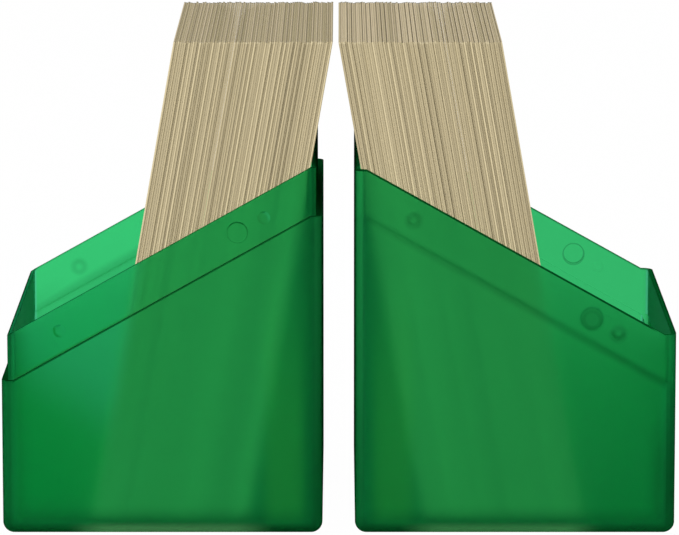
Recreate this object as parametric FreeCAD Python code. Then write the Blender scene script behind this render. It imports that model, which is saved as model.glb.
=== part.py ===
import FreeCAD, Part
import math
import os
import random

from FreeCAD import Vector

# A card case in two halves that meet along a slanted seam, shown open.
# The base stands on the left and the lid, turned over, on the right. Both are
# mouth up with their tall sides facing, and hold a stack of sleeved cards that
# leans on the tall side. Millimetres and degrees, +Z up. The origin is on the
# table, midway between the halves. Both halves are drawn closed first, as one
# case centred on the Z axis with the seam's low side at -X, and then set apart.

# ---- Driving dimensions ----------------------------------------------------

# Sleeved cards
CARD_THICKNESS = 0.37
CARD_WIDTH = 66.0
CARD_HEIGHT = 91.0
LEFT_CARDS = 73
RIGHT_CARDS = 75

# Case walls, and the room that they leave round all the cards when it is closed
WALL = 2.0
FLOOR = 1.6
SIDE_ROOM = 2.95  # at each end of the cards' width
HEAD_ROOM = 3.2
PACK_ROOM = 0.74  # along the pressed pack
CORNER_RADIUS = 2.2  # upright outer edges
BOTTOM_RADIUS = 2.1  # outer edges round each floor
INNER_CORNER_RADIUS = 1.0
INNER_BOTTOM_RADIUS = 0.8

# Seam: level over each side wall, straight in between
SEAM_LOW = 28.95
SEAM_HIGH = 59.75
SEAM_LEVEL_RUN = 2.2

# Lap joint: the base's collar slides into the lid's rebate
COLLAR_HEIGHT = 8.9
COLLAR_INSET = 1.1  # where the rim's slant also ends at the low side
LAP_CLEARANCE = 0.2
COLLAR_END_CLEARANCE = 0.2

# Snaps on both broad walls, halfway up the collar
SNAP_HEIGHT = 0.4
SNAP_CLEARANCE = 0.1
STUD_DIAMETER = 2.4
STUD_BANDS = (0.0, 0.35, 0.65, 0.85)  # steps up a stud's dome, as shares of its height
STUD_FROM_SIDE = 10.8
PAD_DIAMETER = 4.0
PAD_FROM_SIDE = 15.7
PAD_CHAMFER = 0.2

# The open case, with half of the cards leaning in each half
LEAN = 10.0
STACKS_GAP = 1.1  # between the tops of the two stacks
REST_GAP = 0.1  # between the cards and the case
CARD_LOOSENESS = 0.026  # air between neighbours
DEPTH_SPREAD = 0.4  # cards stand up to this far to the front or back
LIFT_SPREAD = 0.25  # and are pushed up by at most this much
PACKETS = 8  # groups of neighbouring cards in a stack, besides its end card

# ---- Values worked out from them -------------------------------------------

CASE_WIDTH = (LEFT_CARDS + RIGHT_CARDS) * CARD_THICKNESS + PACK_ROOM + 2 * WALL
CASE_DEPTH = CARD_WIDTH + 2 * SIDE_ROOM + 2 * WALL
CLOSED_HEIGHT = CARD_HEIGHT + HEAD_ROOM + 2 * FLOOR
RIM_WALL = COLLAR_INSET - LAP_CLEARANCE
REBATE_DEPTH = COLLAR_HEIGHT + COLLAR_END_CLEARANCE
BASE_EDGE_HEIGHT = SEAM_HIGH + COLLAR_HEIGHT  # tops of the two tall walls
LID_EDGE_HEIGHT = CLOSED_HEIGHT - SEAM_LOW
SPARE = CASE_WIDTH  # how far cutting blocks reach past what they cut
FLATNESS = 0.001
ORIGIN = Vector(0, 0, 0)
ACROSS = Vector(1, 0, 0)
DEEP = Vector(0, 1, 0)
UP = Vector(0, 0, 1)


# ---- Blocks that the mouldings are cut from --------------------------------


def edges_at_height(block, height):
    """Edges of a block that lie level at one height."""
    return [
        edge
        for edge in block.Edges
        if abs(edge.BoundBox.ZMin - height) < FLATNESS and abs(edge.BoundBox.ZMax - height) < FLATNESS
    ]


def case_block(inset, corner_radius, low, high):
    """Upright block with the case's outline, set in from its outer faces."""
    width = CASE_WIDTH - 2 * inset
    depth = CASE_DEPTH - 2 * inset
    block = Part.makeBox(width, depth, high - low, Vector(-width / 2, -depth / 2, low))
    upright = [edge for edge in block.Edges if edge.BoundBox.ZLength > FLATNESS]
    return block.makeFillet(corner_radius, upright)


def seam_height(x):
    """Height of the seam's slanted line at one place across the case."""
    slant = CASE_WIDTH / 2 - SEAM_LEVEL_RUN
    return SEAM_LOW + (SEAM_HIGH - SEAM_LOW) * (x + slant) / (2 * slant)


def below_seam(rise, low_run=SEAM_LEVEL_RUN):
    """Everything under the seam, or under the seam raised by some height.

    It is level over the low side wall, for a run that may be shorter than at the tall side.
    """
    reach = CASE_WIDTH / 2 + SPARE
    low_end = low_run - CASE_WIDTH / 2
    high_end = CASE_WIDTH / 2 - SEAM_LEVEL_RUN
    depth = CASE_DEPTH + 2 * SPARE
    outline = Part.makePolygon(
        [
            Vector(-reach, -depth / 2, -SPARE),
            Vector(-reach, -depth / 2, seam_height(low_end) + rise),
            Vector(low_end, -depth / 2, seam_height(low_end) + rise),
            Vector(high_end, -depth / 2, seam_height(high_end) + rise),
            Vector(reach, -depth / 2, seam_height(high_end) + rise),
            Vector(reach, -depth / 2, -SPARE),
            Vector(-reach, -depth / 2, -SPARE),
        ]
    )
    return Part.Face(outline).extrude(DEEP * depth)


# ---- Snaps: the base's studs and pads, and the lid's hollows for them ------


def stud(clearance):
    """Shallow dome on the plane Z=0, turned in conical bands, and fatter by the clearance."""
    dome = (STUD_DIAMETER**2 / 4 + SNAP_HEIGHT**2) / (2 * SNAP_HEIGHT)
    profile = [Vector(0, 0, -SNAP_HEIGHT), Vector(STUD_DIAMETER / 2 + clearance, 0, -SNAP_HEIGHT)]
    for share in STUD_BANDS:
        height = share * SNAP_HEIGHT
        radius = math.sqrt(dome**2 - (dome - SNAP_HEIGHT + height) ** 2)
        profile.append(Vector(radius + clearance, 0, height + clearance))
    profile.append(Vector(0, 0, profile[-1].z))
    outline = Part.makePolygon(profile + profile[:1])
    return Part.Face(outline).revolve(ORIGIN, UP, 360)


def pad(clearance):
    """Round flat pad on the plane Z=0, with its rim eased."""
    height = SNAP_HEIGHT + clearance
    radius = PAD_DIAMETER / 2 + clearance
    disc = Part.makeCylinder(radius, height + SNAP_HEIGHT, Vector(0, 0, -SNAP_HEIGHT))
    return disc.makeChamfer(PAD_CHAMFER, edges_at_height(disc, height))


def snaps(clearance):
    """All studs and pads, on the front and back faces of the collar."""
    half = CASE_WIDTH / 2
    places = [
        (stud(clearance), STUD_FROM_SIDE - half),
        (stud(clearance), half - STUD_FROM_SIDE),
        (pad(clearance), half - PAD_FROM_SIDE),
    ]
    placed = []
    for shape, x in places:
        for side in (-1, 1):
            snap = shape.copy()
            snap.rotate(ORIGIN, ACROSS, -side * 90)
            front = side * (CASE_DEPTH / 2 - COLLAR_INSET)
            snap.translate(Vector(x, front, seam_height(x) + COLLAR_HEIGHT / 2))
            placed.append(snap)
    return placed


# ---- The two mouldings, in the closed case ---------------------------------


def outer_block():
    """The closed case, solid, with every outer edge rounded."""
    block = case_block(0, CORNER_RADIUS, 0, CLOSED_HEIGHT)
    ends = edges_at_height(block, 0) + edges_at_height(block, CLOSED_HEIGHT)
    return block.makeFillet(BOTTOM_RADIUS, ends)


def inner_block():
    """The space inside the closed case, with every edge rounded."""
    low = FLOOR
    high = CLOSED_HEIGHT - FLOOR
    block = case_block(WALL, INNER_CORNER_RADIUS, low, high)
    ends = edges_at_height(block, low) + edges_at_height(block, high)
    return block.makeFillet(INNER_BOTTOM_RADIUS, ends)


def closed_base():
    """Base half: a tray up to the seam, and a collar of half its wall above."""
    tray = outer_block().common(below_seam(0))
    collar = case_block(COLLAR_INSET, CORNER_RADIUS - COLLAR_INSET, BOTTOM_RADIUS, CLOSED_HEIGHT)
    collar = collar.common(below_seam(COLLAR_HEIGHT, COLLAR_INSET))
    body = tray.fuse([collar] + snaps(0)).removeSplitter()
    return body.cut(inner_block())


def closed_lid():
    """Lid half: all above the seam, rebated inside for the collar and its snaps."""
    body = outer_block().cut(below_seam(0)).cut(inner_block())
    rebate = case_block(RIM_WALL, CORNER_RADIUS - RIM_WALL, 0, CLOSED_HEIGHT)
    rebate = rebate.common(below_seam(REBATE_DEPTH))
    return body.cut([rebate] + snaps(SNAP_CLEARANCE)).removeSplitter()


# ---- The halves and the cards as they stand --------------------------------


def lean_run(height):
    """How far a leaning card moves sideways over a rise in height."""
    return height * math.tan(math.radians(LEAN))


def overhang(wall, edge_height):
    """How far a stack's top reaches out over the tall wall that it rests on."""
    top_height = FLOOR + REST_GAP + CARD_HEIGHT * math.cos(math.radians(LEAN))
    return lean_run(top_height - edge_height) - wall - REST_GAP


def standing_offset():
    """How far each half's middle stands from the origin."""
    halves_gap = overhang(WALL, BASE_EDGE_HEIGHT) + STACKS_GAP + overhang(RIM_WALL, LID_EDGE_HEIGHT)
    return (CASE_WIDTH + halves_gap) / 2


def standing_base():
    """The base on the left, its tall side to the middle."""
    base = closed_base()
    base.translate(ACROSS * -standing_offset())
    return base


def standing_lid():
    """The lid on the right, turned over so that its tall side faces the base's."""
    lid = closed_lid()
    lid.rotate(ORIGIN, ACROSS, 180)
    lid.translate(Vector(standing_offset(), 0, CLOSED_HEIGHT))
    return lid


def leaning_stack(count, wall, edge_height, unevenness):
    """Cards that lean towards +X in a half centred on the Z axis.

    They come in order from the one that rests on the inner edge of the wall.
    """
    foot_height = FLOOR + REST_GAP
    foot_x = CASE_WIDTH / 2 - wall - REST_GAP - lean_run(edge_height - foot_height)
    pitch = (CARD_THICKNESS + CARD_LOOSENESS) / math.cos(math.radians(LEAN))
    cards = []
    for place in range(count):
        lift = unevenness.uniform(0, LIFT_SPREAD)
        shift = unevenness.uniform(-DEPTH_SPREAD, DEPTH_SPREAD)
        corner = Vector(-CARD_THICKNESS, shift - CARD_WIDTH / 2, lift)
        card = Part.makeBox(CARD_THICKNESS, CARD_WIDTH, CARD_HEIGHT, corner)
        card.rotate(ORIGIN, DEEP, LEAN)
        card.translate(Vector(foot_x - place * pitch, 0, foot_height))
        cards.append(card)
    return cards


def left_stack():
    """Cards in the base, resting on its collar."""
    cards = leaning_stack(LEFT_CARDS, WALL, BASE_EDGE_HEIGHT, random.Random("left"))
    for card in cards:
        card.translate(ACROSS * -standing_offset())
    return cards


def right_stack():
    """Cards in the lid, resting on its rim and so leaning the other way."""
    cards = leaning_stack(RIGHT_CARDS, RIM_WALL, LID_EDGE_HEIGHT, random.Random("right"))
    for card in cards:
        card.rotate(ORIGIN, UP, 180)
        card.translate(ACROSS * standing_offset())
    return cards


def packet_nodes(side, cards):
    """Nodes of one stack: packets of neighbouring cards, and the end card."""
    *packed, end_card = cards
    nodes = {f"{side}_end_card": end_card}
    for packet in range(PACKETS):
        first = packet * len(packed) // PACKETS
        last = (packet + 1) * len(packed) // PACKETS
        nodes[f"{side}_cards_{packet + 1}"] = Part.makeCompound(packed[first:last])
    return nodes


def all_nodes():
    """Every node of the model by its name."""
    return {
        "base_half": standing_base(),
        "lid_half": standing_lid(),
        **packet_nodes("left", left_stack()),
        **packet_nodes("right", right_stack()),
    }


os.makedirs("parts", exist_ok=True)
for name, shape in all_nodes().items():
    shape.exportStep(f"parts/{name}.step")
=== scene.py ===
import math

import bpy
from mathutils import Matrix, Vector


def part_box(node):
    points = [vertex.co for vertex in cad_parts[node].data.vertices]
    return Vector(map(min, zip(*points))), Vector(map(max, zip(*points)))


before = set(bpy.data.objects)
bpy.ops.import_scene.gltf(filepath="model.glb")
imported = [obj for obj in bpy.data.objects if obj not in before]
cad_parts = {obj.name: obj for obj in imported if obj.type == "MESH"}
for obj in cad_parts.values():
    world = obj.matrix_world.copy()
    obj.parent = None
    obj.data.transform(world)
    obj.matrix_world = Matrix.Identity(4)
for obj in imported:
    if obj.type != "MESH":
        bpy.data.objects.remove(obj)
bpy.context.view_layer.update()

MM = 0.001
MIDDLE = 0.5  # of a range from 0 to 1


def mm(*lengths):
    """Turns lengths in millimetres into metres."""
    return tuple(length * MM for length in lengths)


# ---- The view: a long lens, nine degrees above the table ------------------------------------

LENS = 265.8
SENSOR = 36.0
CAMERA_PLACE = Vector((0.15, -949.75, 201.5)) * MM
CAMERA_PITCH = math.radians(9.416)
CLIP_NEAR, CLIP_FAR = 0.05, 100.0

# ---- The case's shape, as far as its colours follow it --------------------------------------

CASE_MIDDLE = 32.765 * MM  # how far each half's middle is from the origin
HALF_WIDTH = 29.75 * MM
HALF_DEPTH = 37.95 * MM
WALL = 2.0 * MM
FLAT_HALF = 27.0 * MM  # half the width between a wall's rounded corners
LEVEL_RUN = 2.2 * MM  # the seam is level over the side walls
BASE_STEP = mm(28.95, 59.75)  # heights of each half's step, at its low and its tall side
LID_STEP = mm(28.55, 59.35)
BASE_RISE = 8.9 * MM  # from the step up to the rim
LID_RISE = 9.1 * MM
COLLAR_INSET = 1.1 * MM
STUD_FROM_SIDE = 10.8 * MM
PAD_FROM_SIDE = 15.7 * MM
STUD_RADIUS = 1.2 * MM
PAD_RADIUS = 2.0 * MM
HOLLOW_RADIUS = 2.1 * MM  # of the lid's hollow for a pad

# ---- What the plastic lets through, with painted shade and light ----------------------------

BASE_GREEN = (0.197, 0.748, 0.418, 1.0)
LID_GREEN = (0.200, 0.731, 0.406, 1.0)
# The next five are painted shade: at corners (the first is also the random clouds' tint), at the
# bottom, in fine stripes and at the lid's low corners, in soft marks, on the rim's top face, and in
# dark lines along edges, outlines and the sides of bumps
CLOUD_AND_SHADE_GREEN = (0.15, 0.60, 0.31, 1.0)
DEEPEST_SHADE_GREEN = (0.06, 0.25, 0.125, 1.0)
SHADE_MARK_GREEN = (0.14, 0.55, 0.30, 1.0)
RIM_SHADE_GREEN = (0.09, 0.42, 0.21, 1.0)
SHADE_LINE_GREEN = (0.02, 0.12, 0.06, 1.0)
END_INSIDE_LIGHT = (0.31, 0.735, 0.62, 1.0)  # painted light, lighter and bluer, on the inner face of the low end wall seen from the air
SHEEN_GREEN = (0.22, 0.8, 0.58, 1.0)
SHADOW_GREEN = (0.99, 1.0, 0.99, 1.0)
CLEAR = (1.0, 1.0, 1.0, 1.0)

# ---- What the frosted outside itself scatters back, with painted light and shade by place ---

MILKY_GREEN = (0.004, 0.28, 0.065, 1.0)
MILKY_SHADE = (0.003, 0.15, 0.035, 1.0)  # painted shade at corners, bottom and soft marks
MILKY_END_LIGHT = (0.026, 0.57, 0.135, 1.0)  # painted light at a tall end
MILKY_NEAR_END_LIGHT = (0.02, 0.41, 0.065, 1.0)  # painted light beside the cards, towards the tall end
MILKY_FIELD_LIGHT = (0.0, 0.36, 0.065, 1.0)  # painted light low at the low side, where the half is empty
MILKY_OPEN_LIGHT = (0.028, 0.54, 0.24, 1.0)  # painted light higher up there, and on a stud's lit side
MILKY_SHADE_LINE = (0.002, 0.13, 0.025, 1.0)  # painted shade in the dark lines and on a stud's shaded side
MILKY_FOOT_SHADE = (0.02, 0.24, 0.06, 1.0)  # painted shade along the collar's foot
MILKY_UNDER_BASE_LIGHT = (0.17, 0.68, 0.23, 1.0)  # painted light from the cards, along the bottom's edge under them
# the same painted light for the lid
MILKY_UNDER_LID_LIGHT = (0.131, 0.65, 0.20, 1.0)
MILKY_SHARE = 0.22

# ---- The plastic's surface ------------------------------------------------------------------

FROST = 0.74
COLLAR_FROST = 0.5
COLLAR_FROM = (0.0, 0.3 * MM)  # above the step
PLASTIC_IOR = 1.45
GRAIN_RATE = 1400.0  # grains of the frosting to a metre
GRAIN_BUMP = (0.15, 0.03 * MM)  # strength and depth
CLOUD_RATE = 35.0  # faint clouds in its tint to a metre
CLOUD_DETAIL = 3.0
CLOUD_EDGES = (0.3, 0.7)
CLOUD_SHARE = 0.12
OUTSIDE_SHINE = 0.12
INSIDE_SHINE = 0.85
SHEEN_ROUGHNESS = (0.35, 0.55)  # where the grain is 0 and where it is 1

# ---- Telling faces apart --------------------------------------------------------------------
#
# From here on, a pair of numbers is the range over which a mask goes from 0 to 1. Only a pair
# named TONE holds weights: the one where a mask is 0 and the one where it is 1.

ON_FACE = 0.3 * MM  # within this of the outside, a point is on it
CORNER_CUT = 1.6 * MM  # how much less its two distances add up to on a rounded corner
UNDERSIDE = 1.5 * MM  # below this every face is the outside's
INNER_DEPTH = 0.85 * WALL  # beyond this a face is an inner one
UPWARD = (0.3, 0.6)  # a normal's Z, up to a level face's
AT_STEP = mm(0.5, 0.3)  # above or below the step
RIM_FROM = 0.6  # of the rise
FLAT_DEPTH = 0.95 * WALL  # the collar's and the rebate's faces lie within this
FLAT_FROM = 0.8 * MM  # above the step
FLAT_TO = 0.9  # of the rise
OFF_WALL = (0.85, 0.5)  # a normal's share along Y, from the flat wall to a bump's side
ON_END = (0.6, 0.9)  # a normal's share along X, up to the end wall's

# ---- Painted dark lines of shade, and painted light and shade on the sides of bumps ---------

SIDE_LIGHT = 0.5  # a bump's side gets painted light and shade by its normal's Z and this much of its X
BUMP_LIGHT = (-0.6, 0.7)
BUMP_TONE = (0.45, 1.0)
OUTLINE_FACING = (0.38, 0.82)  # Layer Weight, for a painted dark outline where the plastic is seen through its length
OUTER_LINE = 0.25 * MM  # a painted dark line along the rim's outer edge
UNDER_RIM = mm(0.35, 0.1)  # painted shade below the rim, on the inside
UNDER_RIM_SHARE = 0.45
BASE_RIM_SHARE = 0.5  # how much of that line the base has
TRAY_TOP = mm(-0.3, -0.15)  # the painted dark line just below the base's ledge
TRAY_EDGE = (0.02 * MM, 0.0)
TRAY_TONE = (0.3, 0.8)  # over the side walls, and between them
DARK_RIM = mm(0.34, 0.25)  # how far the painted shade of the lid's rim reaches down its wall
RIM_ENDS = mm(24.5, 26.5)  # where it fades at the low side
FOOT_LINE = mm(2.2, 0.3)  # a painted dark line along the bottom, above the table
BASE_FOOT_SHARE, LID_FOOT_SHARE = 0.85, 0.77
FOOT_LOSS = 0.55  # how much of that line is missing under the cards

# ---- Painted shade: soft marks of what is on a wall's other face, as the frosting blurs it ---

LEDGE_MARK = mm(2.8, 0.6)  # above the base's step
BELOW_MARK = mm(0.5, -0.2)  # where that mark gets weaker
BELOW_MARK_LOSS = 0.6
LOW_CORNER_ASIDE = mm(19.0, 28.0)  # from the base's middle
LOW_CORNER_UP = mm(6.5, 1.0)  # above its step
LOW_CORNER_SHARE = 0.5
SOFT_LINE = 1.6 * MM  # half the width of a step's painted shade, as if seen through the frosted wall
MARKS_END = (0.8, 0.4)  # of the rise
LID_MARK_TONE = (0.45, 0.8)  # from the tall side to the low one
INNER_MARK_SHARE = 0.85
RING_WIDTH = 1.1 * MM
DISC_EDGE = mm(0.4, -0.2)  # from the ring
STUD_RING, STUD_FILL = 0.87 * STUD_RADIUS, 0.2  # the ring's radius, the disc's share in it
PAD_RING, PAD_FILL = 0.74 * PAD_RADIUS, 0.65
LOW_STUD_SHARE, TALL_STUD_SHARE = 0.75, 0.5
BASE_PAD_SHARE, LID_PAD_SHARE = 0.5, 1.0
HOLLOW_LINE = mm(0.17, 0.05)  # the fine painted dark ring at a hollow's edge
HOLLOW_SHARE = 0.36
STUD_MARGIN = 0.4 * MM
BUMP_MARGIN = 0.8 * MM
STUD_UPWARD = 0.6  # a stud's side gets painted light and shade by its normal's X and this much of its Z
STUD_SIDE = (0.99, 0.9)
STUD_SUNNY = (0.1, 0.5)
STUD_GLOOMY = (0.1, -0.45)
SUNNY_SHARE, GLOOMY_SHARE = 0.7, 0.8
STUD_SOFTNESS = 0.8  # how far a stud's faces are turned back to the wall's

# ---- Painted shade: deeper green towards corners, ends and bottom ---------------------------

CORNER_FADE = 6.5 * MM  # how far the painted shade of the corners reaches
NARROW_FADE = 2.8 * MM  # and how far high up at the lid's low side
HIGH_UP = mm(10.0, 36.0)  # where it gets weaker on the lid's low side
HIGH_UP_LOSS = 0.7
CORNER_FACING = (0.0, 0.25)  # a normal's share across
LID_CORNER_TONE = (0.4, 1.0)  # from the tall side to the low one
BOTTOM_FADE = 6.0 * MM
BASE_CARDS = (mm(11.5, 20.0), mm(51.0, 42.5))  # the stack's two ends along X, at the bottom
LID_CARDS = (mm(10.7, 19.2), mm(49.5, 41.5))
UNDER_CARDS_UP = mm(2.6, 0.8)  # above the table, over which the painted light under the cards fades out
STRIPE_FACING = (0.05, 0.2)
BASE_STRIPE_PLACE = 27.75 * MM  # a fine upright painted dark line beside each rounded corner
BASE_STRIPE, BASE_STRIPE_SHARE = mm(1.2, 0.3), 0.22
COLLAR_STRIPE, COLLAR_STRIPE_SHARE = mm(0.8, 0.35), 0.6
LID_STRIPE_PLACES = mm(28.35, 29.0)  # at the tall and the low side
LID_STRIPE, LID_STRIPE_SHARE = mm(0.5, 0.15), 0.75
TALL_STRIPE_SHARE = 0.25  # how much of that is left at the tall side

# ---- Where the milky tint gets its painted light and shade ----------------------------------

OPEN_HIGH = mm(18.0, 34.0)  # above the table, where the low side is lighter
OPEN_SLOPE = 0.6  # the light region reaches lower towards the cards
OPEN_PIVOT = 12.6 * MM  # from the low side
OPEN_ASIDE = mm(18.8, 14.3)  # from the low side, along the cards' lean
OPEN_SHARE = 0.75
FIELD_UP = mm(2.0, 9.0)
FOOT_UP, FOOT_FROM = mm(0.45, 0.2), 0.02 * MM  # the collar's foot, above the step
NEAR_END_FROM = mm(17.5, 21.0)  # from the half's middle
NEAR_END_TO = mm(27.5, 24.5)
NEAR_END_UP = mm(55.0, 14.0)
NEAR_END_STEP = (0.0, -2.0 * MM)
END_ASIDE = mm(28.0, 28.6)
END_UP = mm(-20.0, 75.0)
BASE_END_SHARE, LID_END_SHARE = 0.45, 1.0

# ---- The cards: leaning sleeves, tan from the side ------------------------------------------

LEAN = math.radians(10)
CARD_PITCH = 0.396 * MM
# Where the first card begins, across the stack; the random numbers; how light the painted top
# faces are, how much they differ by group, and how dark the painted shade in the gaps is
LEFT_STACK = {
    "first_card": 16.9448 * MM,
    "seed": 0.2,
    "top_lift": -0.1,
    "top_range": 1.4,
    "top_gap": 0.72,
}
RIGHT_STACK = {
    "first_card": 15.8268 * MM,
    "seed": 11.6,
    "top_lift": 0.13,
    "top_range": 2.5,
    "top_gap": 0.95,
}
SLEEVE_LIGHT = (0.56, 0.475, 0.295, 1.0)
SLEEVE_DARK = (0.325, 0.272, 0.162, 1.0)
# The top faces' tones: random tone, with painted shade from the sleeves' open ends
TOP_LIGHT = (0.70, 0.578, 0.372, 1.0)
TOP_DARK = (0.325, 0.27, 0.132, 1.0)
# painted shade in the gaps between cards
GAP_SHADE_TONE = (0.13, 0.10, 0.036, 1.0)
# painted highlight along the cards' front top edges, also the welds' own lighter colour
HIGHLIGHT_AND_WELD_TONE = (0.74, 0.65, 0.43, 1.0)
# painted shade along the back top edge
BACK_SHADE_TONE = (0.11, 0.10, 0.048, 1.0)
FACE_LIGHT = (0.36, 0.32, 0.22, 1.0)
FACE_DARK = (0.29, 0.26, 0.175, 1.0)
GROUP_RATE = 0.43  # groups of cards for each card
LIGHT_SEED, GROUP_SEED, CARD_SEED, HIGHLIGHT_SEED = 7.3, 3.9, 5.7, 9.1  # added to a stack's own
PARTED = (-0.3, 0.25)  # the random numbers over which a group comes to be parted by a gap
# painted highlight on the first card of a group, after a gap
GROUP_LIGHT_TONE = (0.5, 0.8)
GROUP_SPREAD, CARD_SPREAD, FIBRE_SPREAD = 0.12, 0.1, 0.2
USUAL_TONE = 0.28
TOP_LIGHT_SHARE = 0.8
FIBRE_RATES = (1.7, 120.0, 12.0)  # for each card, and to a metre in depth and along the card
ON_TOP = (0.4, 0.7)  # a normal's Z, up to a top face's
EDGE_LINE, TOP_LINE = (0.55, 0.15), (0.8, 0.3)  # shares of a card, over which a gap's painted shade fades
CARD_LINE, CARD_LINE_SHARE = (0.3, 0.48), 0.05  # between any two cards
EDGE_GAP = 0.6  # how dark a gap's painted shade is on the edges
ON_BROAD = (0.6, 0.9)  # a normal's share along an axis, up to a face square to it
# The painted highlight along the front top edge
HIGHLIGHT_UP = mm(91.05, 91.25)
HIGHLIGHT_FRONT = mm(-31.9, -32.6)
HIGHLIGHT_CARDS = (0.5, 0.95)  # the random numbers over which a card comes to get the painted highlight
HIGHLIGHT_SHARE = 0.3
# where the painted shade along the back begins, and its share
BACK_FROM, BACK_SHARE = mm(31.4, 32.2), 0.85
MOTTLE_RATE, MOTTLE_DETAIL = 60.0, 4.0  # of a card's broad face
WELD_PLACE = 32.0 * MM  # how far a sleeve's side welds are from its middle
WELD_WIDTH, WELD_SHARE = mm(0.35, 0.15), 0.5
EDGE_ROUGHNESS, FACE_SMOOTHER, FIBRE_ROUGHNESS = 0.62, 0.3, 0.15
SLEEVE_SPECULAR = 0.12
SLEEVE_BUMP = (0.12, 0.05 * MM)  # strength and depth
FIBRE_HEIGHT = 0.4

# ---- The studio -----------------------------------------------------------------------------

PAPER_WHITE = (0.92, 0.92, 0.92, 1.0)
WHITE = (1.0, 1.0, 1.0, 1.0)
WHITE_SHARE = 0.985
CONTACT = mm(40.0, 8.0)  # seen through the plastic from this near, the floor shows its shade
FLOOR_HALF = 30.0  # half the floor's width
FLOOR_DROP = 0.2 * MM  # how far it lies below the case
WORLD_LIGHT = 0.82
LAMP_PLACE, LAMP_SIZE, LAMP_WATTS = (-0.3, -1.2, 0.5), 0.8, 9.0
LAMP_AIM = Vector((0, 0, 0.045))  # the object's middle


class Graph:
    """A node tree in the making. Most calls take sockets or numbers and give back a socket."""

    def __init__(self, owner, output):
        owner.use_nodes = True
        self.tree = owner.node_tree
        self.tree.nodes.clear()
        self.output = self.node(output)

    def node(self, kind, **settings):
        """A new shader node with these settings."""
        node = self.tree.nodes.new("ShaderNode" + kind)
        for name, value in settings.items():
            setattr(node, name, value)
        return node

    def feed(self, socket, value):
        """Links a socket, or sets a plain value."""
        if isinstance(value, bpy.types.NodeSocket):
            self.tree.links.new(value, socket)
        else:
            socket.default_value = value

    def math(self, operation, *values):
        """The result of a Math node."""
        node = self.node("Math", operation=operation)
        for socket, value in zip(node.inputs, values):
            self.feed(socket, value)
        return node.outputs[0]

    def add(self, first, second):
        """The sum."""
        return self.math("ADD", first, second)

    def less(self, first, second):
        """The first less the second."""
        return self.math("SUBTRACT", first, second)

    def size(self, value):
        """A value without its sign."""
        return self.math("ABSOLUTE", value)

    def distance(self, value, place):
        """How far a value is from a place."""
        return self.size(self.less(value, place))

    def above(self, value, limit):
        """1 where the value is over the limit, otherwise 0."""
        return self.math("GREATER_THAN", value, limit)

    def below(self, value, limit):
        """1 where the value is under the limit, otherwise 0."""
        return self.math("LESS_THAN", value, limit)

    def either_of(self, *values):
        """The largest of several masks."""
        largest = values[0]
        for value in values[1:]:
            largest = self.math("MAXIMUM", largest, value)
        return largest

    def all_of(self, *values):
        """The product of several masks."""
        product = values[0]
        for value in values[1:]:
            product = self.math("MULTIPLY", product, value)
        return product

    def opposite(self, value):
        """1 less a mask."""
        return self.less(1.0, value)

    def weaken(self, mask, where, share):
        """A mask that loses this share of itself where another one is 1."""
        return self.all_of(mask, self.opposite(self.all_of(where, share)))

    def from_to(self, mask, first, second):
        """The first number where the mask is 0, the second where it is 1."""
        return self.add(self.all_of(mask, second - first), first)

    def spread(self, value, width):
        """A number from 0 to 1, turned into one around 0 in a range this wide."""
        return self.all_of(self.less(value, MIDDLE), width)

    def map_range(self, value, source, target, kind="LINEAR"):
        """A value in the source range turned into the target's, level beyond the ends."""
        node = self.node("MapRange", interpolation_type=kind)
        names = ("From Min", "From Max", "To Min", "To Max")
        for name, number in zip(names, (*source, *target)):
            node.inputs[name].default_value = number
        self.feed(node.inputs["Value"], value)
        return node.outputs["Result"]

    def ramp(self, value, low, high):
        """0 below low, 1 above high, smooth between; turned round if low is the higher."""
        source, target = ((low, high), (0.0, 1.0)) if low <= high else ((high, low), (1.0, 0.0))
        return self.map_range(value, source, target, "SMOOTHSTEP")

    def mix(self, factor, first, second, kind="RGBA"):
        """The first colour where the factor is 0 and the second where it is 1."""
        node = self.node("Mix", data_type=kind)
        self.feed(node.inputs["Factor"], factor)
        self.feed(node.inputs["A"], first)
        self.feed(node.inputs["B"], second)
        return node.outputs["Result"]

    def mix_numbers(self, factor, first, second):
        """The first number where the factor is 0 and the second where it is 1."""
        return self.mix(factor, first, second, "FLOAT")

    def mix_shaders(self, factor, first, second):
        """The first shader where the factor is 0 and the second where it is 1."""
        node = self.node("MixShader")
        self.feed(node.inputs["Fac"], factor)
        self.feed(node.inputs[1], first)
        self.feed(node.inputs[2], second)
        return node.outputs[0]

    def noise(self, place, scale, detail=2.0):
        """Grey noise in the object's own space, scale in waves to a metre."""
        node = self.node("TexNoise")
        node.inputs["Scale"].default_value = scale
        node.inputs["Detail"].default_value = detail
        mapping = self.node("Mapping")
        self.feed(mapping.inputs["Vector"], place)
        self.feed(node.inputs["Vector"], mapping.outputs[0])
        return node.outputs["Fac"]

    def hashed(self, number, seed):
        """A fixed random number from 0 to 1 for each whole number."""
        node = self.node("TexWhiteNoise", noise_dimensions="1D")
        self.feed(node.inputs["W"], self.add(number, seed))
        return node.outputs["Value"]

    def places(self):
        """Object-space place, its parts, and the normal's parts."""
        own = self.node("TexCoord")
        place = self.node("SeparateXYZ")
        self.feed(place.inputs[0], own.outputs["Object"])
        normal = self.node("SeparateXYZ")
        self.feed(normal.inputs[0], own.outputs["Normal"])
        return own.outputs["Object"], place.outputs, normal.outputs

    def bump(self, height, strength, depth, facing=None):
        """The direction of a face made uneven by a height, from the face's own or a given one."""
        node = self.node("Bump")
        node.inputs["Strength"].default_value = strength
        node.inputs["Distance"].default_value = depth
        self.feed(node.inputs["Height"], height)
        if facing is not None:
            self.feed(node.inputs["Normal"], facing)
        return node.outputs[0]


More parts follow.
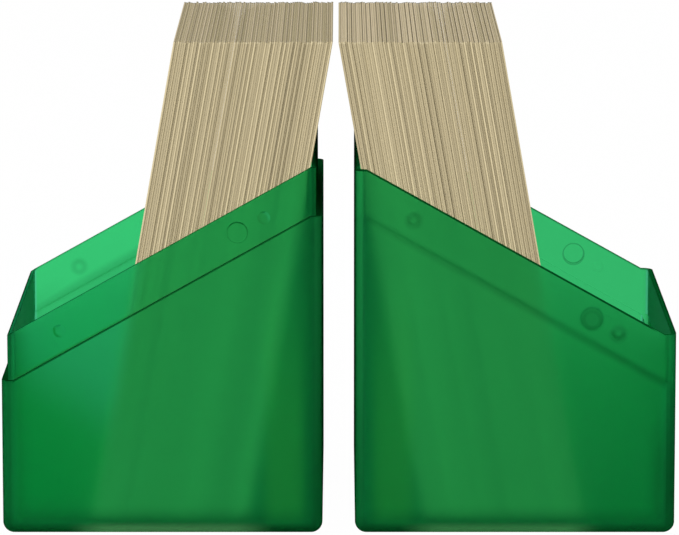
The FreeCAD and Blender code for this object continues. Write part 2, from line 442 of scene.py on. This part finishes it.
class CaseHalf:
    """The frosted plastic of one half: masks by place on its shell, and the shader they steer."""

    def __init__(self, name, low_x, high_x, step, rise, is_base):
        self.material = bpy.data.materials.new(name)
        self.graph = Graph(self.material, "OutputMaterial")
        self.low_x, self.high_x = low_x, high_x
        self.step, self.rise, self.is_base = step, rise, is_base
        self.skin = COLLAR_INSET if is_base else 0.0
        self.inward = 1 if high_x > low_x else -1
        self.low_end = low_x + self.inward * LEVEL_RUN
        self.high_end = high_x - self.inward * LEVEL_RUN
        self.find_places()
        self.find_faces()
        self.find_bumps()
        self.find_lines()
        self.find_marks()
        self.find_fades()
        self.build_shader()

    def find_places(self):
        """A point's place from its half's middle and from the step, and the ways it is seen."""
        g = self.graph
        self.own, self.place, self.normal = g.places()
        self.out_x = g.size(g.less(g.size(self.place["X"]), CASE_MIDDLE))
        self.out_y = g.size(self.place["Y"])
        self.on_x = g.size(self.normal["X"])
        self.on_y = g.size(self.normal["Y"])
        self.from_plastic = g.node("NewGeometry").outputs["Backfacing"]
        self.from_air = g.opposite(self.from_plastic)
        self.path = g.node("LightPath").outputs
        # The step is level at both ends and straight between
        step_height = g.map_range(self.place["X"], (self.low_end, self.high_end), self.step)
        self.above_step = g.less(self.place["Z"], step_height)
        self.towards_low = g.ramp(self.place["X"], self.high_x, self.low_x)

    def find_faces(self):
        """The outside with the base's collar, the ledge at the step, the rim and flat walls."""
        g = self.graph
        corner = HALF_WIDTH + HALF_DEPTH - 2 * self.skin - CORNER_CUT
        outside = g.either_of(
            g.above(self.out_y, HALF_DEPTH - self.skin - ON_FACE),
            g.above(self.out_x, HALF_WIDTH - self.skin - ON_FACE),
            g.above(g.add(self.out_x, self.out_y), corner),
            g.below(self.place["Z"], UNDERSIDE),
        )
        self.outside = g.all_of(outside, self.from_air)
        up = g.ramp(self.normal["Z"], *UPWARD)
        self.ledge = g.all_of(g.ramp(g.size(self.above_step), *AT_STEP), up)
        self.rim_top = g.all_of(g.above(self.above_step, RIM_FROM * self.rise), up)
        self.flat_wall = g.all_of(
            g.above(self.out_y, HALF_DEPTH - FLAT_DEPTH),
            g.below(self.out_x, FLAT_HALF),
            g.above(self.above_step, FLAT_FROM),
            g.below(self.above_step, FLAT_TO * self.rise),
        )

    def away_from(self, from_end):
        """How far a point is from a bump that lies this far from the low or the tall side."""
        g = self.graph
        x = (self.low_x if from_end > 0 else self.high_x) + self.inward * from_end
        share = (x - self.low_end) / (self.high_end - self.low_end)
        z = self.step[0] + share * (self.step[1] - self.step[0]) + BASE_RISE / 2
        aside, higher = g.less(self.place["X"], x), g.less(self.place["Z"], z)
        return g.math("SQRT", g.add(g.all_of(aside, aside), g.all_of(higher, higher)))

    def find_bumps(self):
        """Two studs and a pad on each wall: their soft marks of painted shade, and where they are.
        """
        g = self.graph
        pad_from = -PAD_FROM_SIDE if self.is_base else PAD_FROM_SIDE
        pad_share = BASE_PAD_SHARE if self.is_base else LID_PAD_SHARE
        self.bump_marks, studs, bumps = [], [], []
        for from_end, radius, fill, share in (
            (STUD_FROM_SIDE, STUD_RING, STUD_FILL, LOW_STUD_SHARE),
            (-STUD_FROM_SIDE, STUD_RING, STUD_FILL, TALL_STUD_SHARE),
            (pad_from, PAD_RING, PAD_FILL, pad_share),
        ):
            away = self.away_from(from_end)
            ring = g.ramp(g.distance(away, radius), RING_WIDTH, 0.0)
            disc = g.ramp(away, radius + DISC_EDGE[0], radius + DISC_EDGE[1])
            self.bump_marks += [g.all_of(ring, share), g.all_of(disc, fill * share)]
            bumps.append(g.below(away, radius + BUMP_MARGIN))
            if from_end != pad_from:
                studs.append(g.below(away, STUD_RADIUS + STUD_MARGIN))
            elif not self.is_base:
                hollow_line = g.ramp(g.distance(away, HOLLOW_RADIUS), *HOLLOW_LINE)
                self.hollow_ring = g.all_of(hollow_line, HOLLOW_SHARE)
        self.on_bump = g.either_of(*bumps)
        self.on_stud = g.all_of(g.either_of(*studs), self.flat_wall)

    def find_lines(self):
        """Painted dark lines of shade: sides of bumps and hollows, the step's line, outlines seen
        through the length, and lines at the rim and the bottom.
        """
        g = self.graph
        side_light = SIDE_LIGHT if self.is_base else -SIDE_LIGHT
        lit_from = g.add(self.normal["Z"], g.all_of(self.normal["X"], side_light))
        relief = g.all_of(self.flat_wall, g.ramp(self.on_y, *OFF_WALL))
        relief = g.all_of(relief, g.from_to(g.ramp(lit_from, *BUMP_LIGHT), *BUMP_TONE))
        relief = g.all_of(relief, g.opposite(self.on_stud))
        if self.is_base:
            through = g.either_of(self.from_plastic, self.path["Is Transmission Ray"])
            self.unseen = g.all_of(self.ledge, through)
            self.edges = g.either_of(relief, g.all_of(self.ledge, g.opposite(through)))
        else:
            self.unseen = self.ledge
            ring = g.all_of(self.hollow_ring, g.opposite(self.outside), self.from_air)
            self.edges = g.either_of(relief, ring)

        facing = g.node("LayerWeight").outputs["Facing"]
        outline = g.all_of(g.ramp(facing, *OUTLINE_FACING), self.outside)
        outer = g.above(self.out_x, HALF_WIDTH - self.skin - OUTER_LINE)
        outline = g.either_of(outline, g.all_of(self.rim_top, outer))
        below_rim = g.ramp(self.above_step, *(self.rise - depth for depth in UNDER_RIM))
        under_rim = g.all_of(below_rim, g.opposite(self.outside), UNDER_RIM_SHARE)
        if self.is_base:
            tray = g.all_of(g.ramp(self.above_step, *TRAY_TOP), g.ramp(self.above_step, *TRAY_EDGE))
            in_middle = g.below(self.out_x, HALF_WIDTH - LEVEL_RUN)
            tray = g.all_of(tray, self.outside, g.from_to(in_middle, *TRAY_TONE))
            outline = g.either_of(outline, g.all_of(under_rim, BASE_RIM_SHARE), tray)
        else:
            dark_rim = g.ramp(self.above_step, *(self.rise - depth for depth in DARK_RIM))
            at_low_end = g.all_of(g.ramp(self.out_x, *RIM_ENDS), self.towards_low)
            shaded = g.all_of(dark_rim, self.outside, g.opposite(at_low_end))
            outline = g.either_of(outline, under_rim, shaded)
        outline = g.all_of(outline, g.opposite(self.on_stud))

        # A painted dark line along the bottom, weaker where the cards stand on the floor
        from_middle = g.size(self.place["X"])
        inner, outer = BASE_CARDS if self.is_base else LID_CARDS
        self.below_cards = g.all_of(g.ramp(from_middle, *inner), g.ramp(from_middle, *outer))
        share = BASE_FOOT_SHARE if self.is_base else LID_FOOT_SHARE
        foot_line = g.all_of(g.ramp(self.place["Z"], *FOOT_LINE), self.outside, share)
        foot_line = g.weaken(foot_line, self.below_cards, FOOT_LOSS)
        self.outline = g.either_of(outline, foot_line)

    def find_marks(self):
        """Painted shade in soft marks of the ledge and the bumps, and painted light and shade on
        the sides of the studs.
        """
        g = self.graph
        if self.is_base:
            marks = g.ramp(self.above_step, *LEDGE_MARK)
            marks = g.weaken(marks, g.ramp(self.above_step, *BELOW_MARK), BELOW_MARK_LOSS)
            low_corner = g.ramp(self.out_x, *LOW_CORNER_ASIDE)
            low_corner = g.all_of(low_corner, g.ramp(self.above_step, *LOW_CORNER_UP))
            marks = g.either_of(marks, g.all_of(low_corner, LOW_CORNER_SHARE))
        else:
            marks = g.ramp(g.size(self.above_step), SOFT_LINE, 0.0)
        marks_end = g.ramp(self.above_step, *(share * self.rise for share in MARKS_END))
        marks = g.all_of(marks, marks_end)
        if not self.is_base:
            marks = g.all_of(marks, g.from_to(self.towards_low, *LID_MARK_TONE))
        marks = g.either_of(marks, *self.bump_marks)
        if not self.is_base:
            self.marks = g.all_of(marks, self.outside)
            return
        inner_side = g.all_of(
            g.below(self.out_y, HALF_DEPTH - INNER_DEPTH),
            g.below(self.out_x, HALF_WIDTH - INNER_DEPTH),
            self.from_air,
        )
        self.marks = g.all_of(marks, inner_side, INNER_MARK_SHARE)
        leaning = g.add(self.normal["X"], g.all_of(self.normal["Z"], STUD_UPWARD))
        sloping = g.all_of(self.on_stud, g.ramp(self.on_y, *STUD_SIDE))
        self.sunny = g.all_of(sloping, g.ramp(leaning, *STUD_SUNNY), SUNNY_SHARE)
        self.gloomy = g.all_of(sloping, g.ramp(leaning, *STUD_GLOOMY), GLOOMY_SHARE)

    def find_fades(self):
        """Painted shade: a deeper green towards the upright corners and the bottom, seen from
        outside, and fine dark stripes beside the corners.
        """
        g = self.graph
        wide_fade = g.ramp(self.out_x, HALF_WIDTH - CORNER_FADE, HALF_WIDTH)
        if not self.is_base:
            narrow_fade = g.ramp(self.out_x, HALF_WIDTH - NARROW_FADE, HALF_WIDTH)
            high = g.all_of(g.ramp(self.place["Z"], *HIGH_UP), self.towards_low)
            wide_fade = g.mix_numbers(high, wide_fade, narrow_fade)
        deep_fade = g.ramp(self.out_y, HALF_DEPTH - CORNER_FADE, HALF_DEPTH)
        corner = g.either_of(
            g.all_of(wide_fade, g.ramp(self.on_y, *CORNER_FACING)),
            g.all_of(deep_fade, g.ramp(self.on_x, *CORNER_FACING)),
        )
        corner = g.all_of(corner, self.outside, g.opposite(self.on_bump))
        self.bottom = g.all_of(g.ramp(self.place["Z"], BOTTOM_FADE, 0.0), self.outside)
        facing = g.ramp(self.on_y, *STRIPE_FACING)
        if self.is_base:
            self.corner = corner
            from_line = g.distance(self.out_x, BASE_STRIPE_PLACE)
            stripe = g.all_of(g.ramp(from_line, *BASE_STRIPE), BASE_STRIPE_SHARE)
            collar_stripe = g.all_of(g.ramp(from_line, *COLLAR_STRIPE), COLLAR_STRIPE_SHARE)
            stripe = g.mix_numbers(g.above(self.above_step, 0.0), stripe, collar_stripe)
            self.stripe = g.all_of(stripe, self.outside, self.towards_low, facing)
        else:
            corner = g.all_of(corner, g.from_to(self.towards_low, *LID_CORNER_TONE))
            self.corner = g.weaken(corner, high, HIGH_UP_LOSS)
            tall, low = (
                g.ramp(g.distance(self.out_x, place), *LID_STRIPE) for place in LID_STRIPE_PLACES
            )
            stripe = g.mix_numbers(self.towards_low, g.all_of(tall, TALL_STRIPE_SHARE), low)
            stripe = g.all_of(stripe, self.outside, facing, LID_STRIPE_SHARE)
            self.stripe = g.weaken(stripe, high, HIGH_UP_LOSS)

    def passed_tint(self):
        """The colour of what comes through the plastic, with painted shade and light laid on by
        place.
        """
        g = self.graph
        face = BASE_GREEN if self.is_base else LID_GREEN
        deep = CLOUD_AND_SHADE_GREEN if self.is_base else g.mix(self.towards_low, CLOUD_AND_SHADE_GREEN, DEEPEST_SHADE_GREEN)
        clouds = g.ramp(g.noise(self.own, CLOUD_RATE, CLOUD_DETAIL), *CLOUD_EDGES)
        tint = g.mix(g.all_of(clouds, CLOUD_SHARE), face, CLOUD_AND_SHADE_GREEN)
        # Painted light on the inner face of the low end wall, seen from the air
        on_end = g.ramp(self.on_x, *ON_END)
        inner_end = g.all_of(g.opposite(self.outside), self.from_air, self.towards_low, on_end)
        for mask, colour in (
            (self.corner, deep),
            (self.bottom, DEEPEST_SHADE_GREEN),
            (self.stripe, DEEPEST_SHADE_GREEN),
            (self.marks, SHADE_MARK_GREEN),
            (inner_end, END_INSIDE_LIGHT),
            (self.rim_top, RIM_SHADE_GREEN),
            (g.either_of(self.edges, self.outline), SHADE_LINE_GREEN),
        ):
            tint = g.mix(mask, tint, colour)
        return tint

    def milky_tint(self, dark):
        """The colour that the frosted outside itself scatters back, with painted light and shade
        laid on by place.
        """
        g = self.graph
        shade = g.either_of(self.corner, self.bottom, self.marks)
        tint = g.mix(shade, MILKY_GREEN, MILKY_SHADE)
        if self.is_base:
            # Painted light at the low side, where the half is empty
            aside = g.less(self.place["X"], self.low_x + OPEN_PIVOT)
            raised = g.add(self.place["Z"], g.all_of(aside, OPEN_SLOPE))
            high = g.ramp(raised, *OPEN_HIGH)
            upright_x = g.less(self.place["X"], g.all_of(self.place["Z"], math.tan(LEAN)))
            opened = g.ramp(upright_x, *(self.low_x + place for place in OPEN_ASIDE))
            opened = g.all_of(opened, g.opposite(self.corner))
            field = g.all_of(opened, g.opposite(high), g.ramp(self.place["Z"], *FIELD_UP))
            tint = g.mix(field, tint, MILKY_FIELD_LIGHT)
            tint = g.mix(g.all_of(opened, high, OPEN_SHARE), tint, MILKY_OPEN_LIGHT)
            # Painted shade along the collar's foot, just above the step
            foot = g.all_of(
                g.ramp(self.above_step, *FOOT_UP),
                g.above(self.above_step, FOOT_FROM),
                g.below(self.out_x, HALF_WIDTH - LEVEL_RUN),
            )
            tint = g.mix(foot, tint, MILKY_FOOT_SHADE)
        # Painted light beside the cards towards the tall end, and at the tall end
        near_end = g.all_of(
            g.ramp(self.out_x, *NEAR_END_FROM),
            g.ramp(self.out_x, *NEAR_END_TO),
            g.ramp(self.place["Z"], *NEAR_END_UP),
            g.below(self.towards_low, MIDDLE),
            g.ramp(self.above_step, *NEAR_END_STEP),
            g.opposite(self.bottom),
        )
        tint = g.mix(near_end, tint, MILKY_NEAR_END_LIGHT)
        tall_end = g.all_of(g.ramp(self.out_x, *END_ASIDE), g.opposite(self.towards_low))
        share = BASE_END_SHARE if self.is_base else LID_END_SHARE
        tall_end = g.all_of(tall_end, g.ramp(self.place["Z"], *END_UP), share)
        tint = g.mix(tall_end, tint, MILKY_END_LIGHT)
        # Painted shade in the dark lines; on the base, painted light and shade on the studs' sides
        tint = g.mix(dark, tint, MILKY_SHADE_LINE)
        if self.is_base:
            tint = g.mix(self.sunny, tint, MILKY_OPEN_LIGHT)
            tint = g.mix(self.gloomy, tint, MILKY_SHADE_LINE)
        # Painted light from the cards along the bottom edge under them
        under_cards = g.all_of(self.below_cards, g.ramp(self.place["Z"], *UNDER_CARDS_UP))
        return g.mix(under_cards, tint, MILKY_UNDER_BASE_LIGHT if self.is_base else MILKY_UNDER_LID_LIGHT)

    def softer_studs(self):
        """The face's own direction, turned most of the way to the wall's on a stud."""
        g = self.graph
        keep = g.opposite(g.all_of(self.on_stud, STUD_SOFTNESS))
        shares = g.node("CombineXYZ")
        shares.inputs["Y"].default_value = 1.0
        for axis in "XZ":
            g.feed(shares.inputs[axis], keep)
        softened = g.node("VectorMath", operation="MULTIPLY")
        g.feed(softened.inputs[0], g.node("NewGeometry").outputs["Normal"])
        g.feed(softened.inputs[1], shares.outputs[0])
        unit = g.node("VectorMath", operation="NORMALIZE")
        g.feed(unit.inputs[0], softened.outputs[0])
        return unit.outputs[0]

    def build_shader(self):
        """A rough refraction under a milky film and a faint sheen, open to lamps and bounces."""
        g = self.graph
        frost = g.node("BsdfRefraction")
        g.feed(frost.inputs["Color"], self.passed_tint())
        frost.inputs["IOR"].default_value = PLASTIC_IOR
        frosting = FROST
        if self.is_base:
            on_collar = g.ramp(self.above_step, *COLLAR_FROM)
            frosting = g.from_to(on_collar, FROST, COLLAR_FROST)
        g.feed(frost.inputs["Roughness"], frosting)
        through = g.node("BsdfTransparent")
        through.inputs["Color"].default_value = CLEAR if self.is_base else LID_GREEN
        body = g.mix_shaders(self.unseen, frost.outputs[0], through.outputs[0])

        edges = g.either_of(self.edges, self.unseen)
        milky = g.node("BsdfDiffuse")
        g.feed(milky.inputs["Color"], self.milky_tint(g.either_of(edges, self.outline)))
        scatters = g.either_of(self.outside, g.all_of(self.rim_top, self.from_air))
        body = g.mix_shaders(g.all_of(scatters, MILKY_SHARE), body, milky.outputs[0])

        grain = g.noise(self.own, GRAIN_RATE)
        gloss = g.node("BsdfAnisotropic")
        gloss.inputs["Color"].default_value = SHEEN_GREEN
        g.feed(gloss.inputs["Roughness"], g.from_to(grain, *SHEEN_ROUGHNESS))
        grained = g.bump(grain, *GRAIN_BUMP, self.softer_studs() if self.is_base else None)
        for shader in (frost, milky, gloss):
            g.feed(shader.inputs["Normal"], grained)
        fresnel = g.node("Fresnel")
        fresnel.inputs["IOR"].default_value = PLASTIC_IOR
        plain = g.all_of(g.opposite(edges), g.opposite(self.outline), g.opposite(self.rim_top))
        strength = g.from_to(self.from_plastic, OUTSIDE_SHINE, INSIDE_SHINE)
        share = g.all_of(fresnel.outputs[0], strength, plain)
        surface = g.mix_shaders(share, body, gloss.outputs[0])

        open_way = g.node("BsdfTransparent")
        open_way.inputs["Color"].default_value = SHADOW_GREEN
        lamp_or_bounce = g.either_of(self.path["Is Shadow Ray"], self.path["Is Diffuse Ray"])
        surface = g.mix_shaders(lamp_or_bounce, surface, open_way.outputs[0])
        g.feed(g.output.inputs["Surface"], surface)


def card_sleeves(name, first_card, seed, top_lift, top_range, top_gap):
    """Tan edges of sleeved cards in uneven stripes, with painted shade in the gaps and along the
    back, and painted highlights along the front top edges.
    """
    material = bpy.data.materials.new(name)
    g = Graph(material, "OutputMaterial")
    own, place, normal = g.places()
    aside = g.size(place["X"])
    across = g.add(g.all_of(aside, math.cos(LEAN)), g.all_of(place["Z"], math.sin(LEAN)))
    count = g.math("DIVIDE", g.less(across, first_card), CARD_PITCH)
    number, within = g.math("FLOOR", count), g.math("FRACT", count)

    # Cards lie in small groups: the first of each gets a painted highlight, after a gap of painted
    # shade
    turn = g.add(g.all_of(number, GROUP_RATE), seed)
    group = g.math("FLOOR", turn)
    leads = g.below(g.math("FRACT", turn), GROUP_RATE)
    parted = g.all_of(leads, g.ramp(g.hashed(group, seed), *PARTED))
    light = g.all_of(parted, g.from_to(g.hashed(group, seed + LIGHT_SEED), *GROUP_LIGHT_TONE))
    group_tone = g.spread(g.hashed(group, seed + GROUP_SEED), GROUP_SPREAD)
    card_tone = g.spread(g.hashed(number, seed + CARD_SEED), CARD_SPREAD)
    along = g.less(g.all_of(place["Z"], math.cos(LEAN)), g.all_of(aside, math.sin(LEAN)))
    by_card = g.node("CombineXYZ")
    for socket, value, rate in zip(by_card.inputs, (number, place["Y"], along), FIBRE_RATES):
        g.feed(socket, g.all_of(value, rate))
    fibre = g.noise(by_card.outputs[0], 1.0)
    fibre_tone = g.add(g.spread(fibre, FIBRE_SPREAD), USUAL_TONE)
    tone = g.add(g.add(group_tone, card_tone), fibre_tone)
    edge = g.mix(g.add(tone, light), SLEEVE_DARK, SLEEVE_LIGHT)
    # The top faces: random tone with painted shade, and the group's painted highlight
    top_tone = g.add(g.all_of(group_tone, top_range), g.add(tone, top_lift))
    top_tone = g.add(top_tone, g.all_of(light, TOP_LIGHT_SHARE))
    on_top = g.ramp(normal["Z"], *ON_TOP)
    colour = g.mix(on_top, edge, g.mix(top_tone, TOP_DARK, TOP_LIGHT))

    # Painted shade in the gaps between cards
    line = g.mix_numbers(on_top, g.ramp(within, *EDGE_LINE), g.ramp(within, *TOP_LINE))
    every = g.all_of(g.ramp(g.distance(within, MIDDLE), *CARD_LINE), CARD_LINE_SHARE)
    gap = g.either_of(every, g.all_of(line, parted, g.from_to(on_top, EDGE_GAP, top_gap)))
    colour = g.mix(gap, colour, GAP_SHADE_TONE)

    # The ends: a painted highlight along the front top edge, painted shade along the back top edge
    on_front = g.ramp(g.size(normal["Y"]), *ON_BROAD)
    highlit_end = g.all_of(on_front, g.ramp(place["Z"], *HIGHLIGHT_UP))
    highlit_top = g.all_of(on_top, g.ramp(place["Y"], *HIGHLIGHT_FRONT))
    uneven = g.ramp(g.hashed(number, seed + HIGHLIGHT_SEED), *HIGHLIGHT_CARDS)
    painted_highlight = g.all_of(g.either_of(highlit_end, highlit_top), g.opposite(gap), uneven, HIGHLIGHT_SHARE)
    colour = g.mix(painted_highlight, colour, HIGHLIGHT_AND_WELD_TONE)
    back_line = g.all_of(on_top, g.ramp(place["Y"], *BACK_FROM), BACK_SHARE)
    colour = g.mix(back_line, colour, BACK_SHADE_TONE)

    # A sleeve's broad face: clear film over a plain card, welded along two sides
    broad = g.ramp(g.size(normal["X"]), *ON_BROAD)
    face = g.mix(g.noise(own, MOTTLE_RATE, MOTTLE_DETAIL), FACE_DARK, FACE_LIGHT)
    weld = g.ramp(g.distance(g.size(place["Y"]), WELD_PLACE), *WELD_WIDTH)
    face = g.mix(g.all_of(weld, WELD_SHARE), face, HIGHLIGHT_AND_WELD_TONE)
    colour = g.mix(broad, colour, face)

    sleeve = g.node("BsdfPrincipled")
    roughness = g.less(EDGE_ROUGHNESS, g.all_of(broad, FACE_SMOOTHER))
    roughness = g.add(roughness, g.spread(fibre, FIBRE_ROUGHNESS))
    g.feed(sleeve.inputs["Roughness"], roughness)
    g.feed(sleeve.inputs["Specular IOR Level"], SLEEVE_SPECULAR)
    g.feed(sleeve.inputs["Base Color"], colour)
    height = g.less(g.all_of(fibre, FIBRE_HEIGHT), gap)
    height = g.add(height, g.all_of(weld, broad, WELD_SHARE))
    g.feed(sleeve.inputs["Normal"], g.bump(height, *SLEEVE_BUMP))
    g.feed(g.output.inputs["Surface"], sleeve.outputs[0])
    return material


def dress(material, *names):
    """Gives CAD nodes one material."""
    for name in names:
        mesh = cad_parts[name].data
        mesh.materials.clear()
        mesh.materials.append(material)


def seen_directly(g, path):
    """1 for what the camera sees, at once or in or through the object."""
    seen = g.either_of(path["Is Camera Ray"], path["Is Glossy Ray"])
    return g.either_of(seen, path["Is Transmission Ray"])


def floor():
    """A pale floor that shows white, apart from the object's soft shadow."""
    mesh = bpy.data.meshes.new("floor")
    far = FLOOR_HALF
    corners = [(-far, -far, 0), (far, -far, 0), (far, far, 0), (-far, far, 0)]
    mesh.from_pydata(corners, [], [(0, 1, 2, 3)])
    plane = bpy.data.objects.new("floor", mesh)
    bpy.context.scene.collection.objects.link(plane)
    plane.location.z = -FLOOR_DROP
    material = bpy.data.materials.new("floor")
    g = Graph(material, "OutputMaterial")
    paper = g.node("BsdfDiffuse")
    paper.inputs["Color"].default_value = PAPER_WHITE
    path = g.node("LightPath").outputs
    near = g.all_of(g.ramp(path["Ray Length"], *CONTACT), path["Is Transmission Ray"])
    share = g.all_of(seen_directly(g, path), WHITE_SHARE, g.opposite(near))
    surface = g.mix_shaders(share, paper.outputs[0], g.node("Emission").outputs[0])
    g.feed(g.output.inputs["Surface"], surface)
    mesh.materials.append(material)


def surroundings():
    """White all round, seen at full strength and lighting the object at less."""
    world = bpy.data.worlds.new("studio")
    bpy.context.scene.world = world
    g = Graph(world, "OutputWorld")
    lit, seen = g.node("Background"), g.node("Background")
    lit.inputs["Strength"].default_value = WORLD_LIGHT
    for background in (lit, seen):
        background.inputs["Color"].default_value = WHITE
    directly = seen_directly(g, g.node("LightPath").outputs)
    g.feed(g.output.inputs["Surface"], g.mix_shaders(directly, lit.outputs[0], seen.outputs[0]))


def soft_lamp():
    """A square soft box that faces the object's middle."""
    light = bpy.data.lights.new("key", "AREA")
    light.shape = "SQUARE"
    light.size = LAMP_SIZE
    light.energy = LAMP_WATTS
    lamp = bpy.data.objects.new("key", light)
    lamp.location = LAMP_PLACE
    aim = LAMP_AIM - Vector(LAMP_PLACE)
    lamp.rotation_euler = aim.to_track_quat("-Z", "Y").to_euler()
    bpy.context.scene.collection.objects.link(lamp)


def camera():
    """The photograph's view."""
    lens = bpy.data.cameras.new("camera")
    lens.lens = LENS
    lens.sensor_width = SENSOR
    lens.sensor_fit = "HORIZONTAL"
    lens.clip_start, lens.clip_end = CLIP_NEAR, CLIP_FAR
    eye = bpy.data.objects.new("camera", lens)
    eye.location = CAMERA_PLACE
    eye.rotation_euler = (math.radians(90) - CAMERA_PITCH, 0, 0)
    bpy.context.scene.collection.objects.link(eye)
    bpy.context.scene.camera = eye


BASE_LOW, BASE_HIGH = (corner[0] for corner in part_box("base_half"))
LID_HIGH, LID_LOW = (corner[0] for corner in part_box("lid_half"))
BASE = CaseHalf("frosted_base", BASE_LOW, BASE_HIGH, BASE_STEP, BASE_RISE, is_base=True)
LID = CaseHalf("frosted_lid", LID_LOW, LID_HIGH, LID_STEP, LID_RISE, is_base=False)
dress(BASE.material, "base_half")
dress(LID.material, "lid_half")
for side, stack in (("left", LEFT_STACK), ("right", RIGHT_STACK)):
    sleeves = card_sleeves(side + "_sleeves", **stack)
    dress(sleeves, *(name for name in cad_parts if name.startswith(side + "_")))
floor()
surroundings()
soft_lamp()
camera()
bpy.context.scene.view_settings.view_transform = "Standard"
